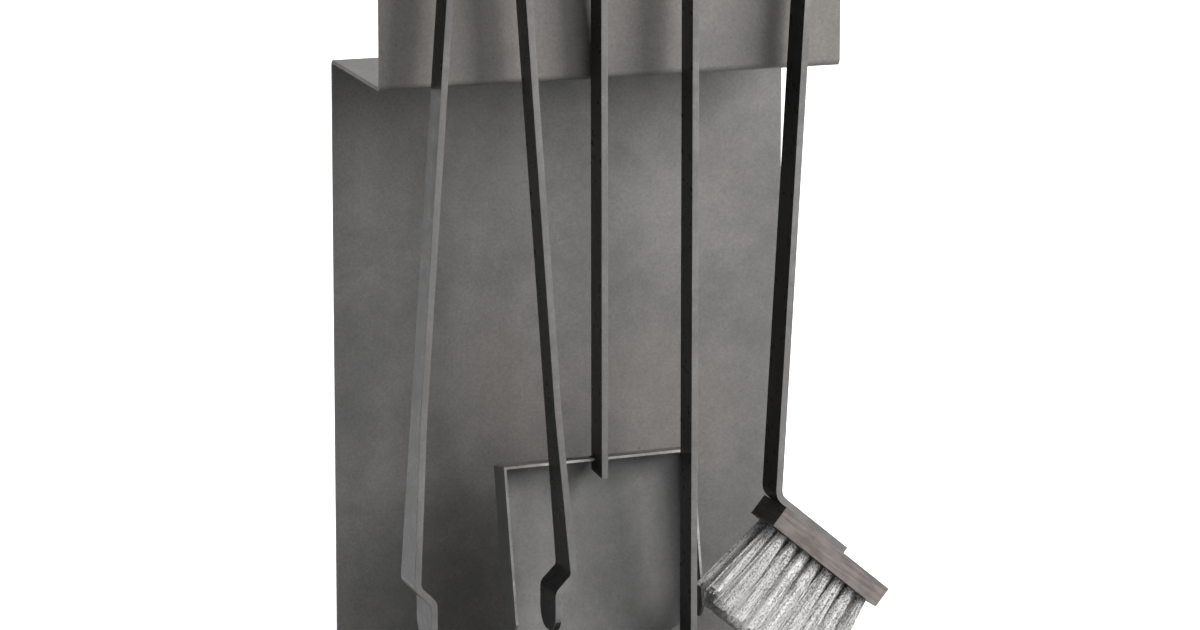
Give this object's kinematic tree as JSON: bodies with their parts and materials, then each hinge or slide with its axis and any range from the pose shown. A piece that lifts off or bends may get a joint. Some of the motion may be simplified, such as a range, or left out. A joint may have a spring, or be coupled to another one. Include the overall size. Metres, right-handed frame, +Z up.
{
  "type": "fireplace tool set",
  "caption": "Folded steel stand with a shelf, and flat-bar tongs, shovel, poker and hearth brush hanging from pegs on its upper plate.",
  "frame": {"origin": "on the floor, under the middle of the stand's foot", "axes": "+X right, +Y back, +Z up, with the tools hanging on the -Y side"},
  "size_m": [0.3798, 0.2, 0.66],
  "materials": {
    "sheet_steel": "satin",
    "bar_steel": "satin",
    "fastener_steel": "satin",
    "brush_wood": "matte",
    "bristle": "matte"
  },
  "bodies": {
    "stand": {"stand_sheet": "sheet_steel", "tongs_peg_screw": "fastener_steel", "tongs_washer": "fastener_steel", "tongs_nut": "fastener_steel", "shovel_peg_screw": "fastener_steel", "shovel_washer": "fastener_steel", "shovel_nut": "fastener_steel", "poker_peg_screw": "fastener_steel", "poker_washer": "fastener_steel", "poker_nut": "fastener_steel", "brush_peg_screw": "fastener_steel", "brush_washer": "fastener_steel", "brush_nut": "fastener_steel"},
    "tongs_roller": {"tongs_spool": "bar_steel"},
    "shovel_roller": {"shovel_spool": "bar_steel"},
    "poker_roller": {"poker_spool": "bar_steel"},
    "brush_roller": {"brush_spool": "bar_steel"},
    "tongs": {"tongs_bow": "bar_steel"},
    "tongs_right": {"tongs_right_arm": "bar_steel"},
    "tongs_left": {"tongs_left_arm": "bar_steel"},
    "shovel": {"shovel_handle": "bar_steel", "shovel_pan": "sheet_steel"},
    "poker": {"poker_bar": "bar_steel", "poker_barb": "bar_steel"},
    "brush": {"brush_bar": "bar_steel", "brush_block": "brush_wood", "brush_bristles": "bristle", "brush_screw_1": "fastener_steel", "brush_screw_2": "fastener_steel"}
  },
  "joints": [
    {"name": "tongs_swing", "type": "hinge", "parent": "stand", "child": "tongs_roller", "pos_m": [-0.1047, -0.05, 0.622], "axis": [0, 1, 0], "range_deg": [-5, 5]},
    {"name": "tongs_lift", "type": "slide", "parent": "tongs_roller", "child": "tongs", "axis": [0, 0, 1], "range_m": [0, 0.012]},
    {"name": "tongs_squeeze", "type": "hinge", "parent": "tongs", "child": "tongs_right", "pos_m": [-0.07926, -0.0545, 0.60708], "axis": [0, 1, 0], "range_deg": [0, 4.6], "stiffness_Nm_per_rad": 113},
    {"name": "tongs_squeeze_left", "type": "hinge", "parent": "tongs", "child": "tongs_left", "pos_m": [-0.13014, -0.0545, 0.60708], "axis": [0, -1, 0], "range_deg": [0, 4.6], "stiffness_Nm_per_rad": 113},
    {"name": "shovel_swing", "type": "hinge", "parent": "stand", "child": "shovel_roller", "pos_m": [-0.0095, -0.05, 0.622], "axis": [0, 1, 0], "range_deg": [0, 5]},
    {"name": "shovel_lift", "type": "slide", "parent": "shovel_roller", "child": "shovel", "axis": [0, 0, 1], "range_m": [0, 0.012]},
    {"name": "poker_swing", "type": "hinge", "parent": "stand", "child": "poker_roller", "pos_m": [0.0498, -0.05, 0.622], "axis": [0, 1, 0], "range_deg": [0, 4]},
    {"name": "poker_lift", "type": "slide", "parent": "poker_roller", "child": "poker", "axis": [0, 0, 1], "range_m": [0, 0.012]},
    {"name": "brush_swing", "type": "hinge", "parent": "stand", "child": "brush_roller", "pos_m": [0.1333, -0.05, 0.622], "axis": [0, -1, 0], "range_deg": [0, 12]},
    {"name": "brush_lift", "type": "slide", "parent": "brush_roller", "child": "brush", "axis": [0, 0, 1], "range_m": [0, 0.012]}
  ],
  "couplings": [
    {"joint": "tongs_squeeze_left", "follows": "tongs_squeeze", "ratio": 1}
  ]
}
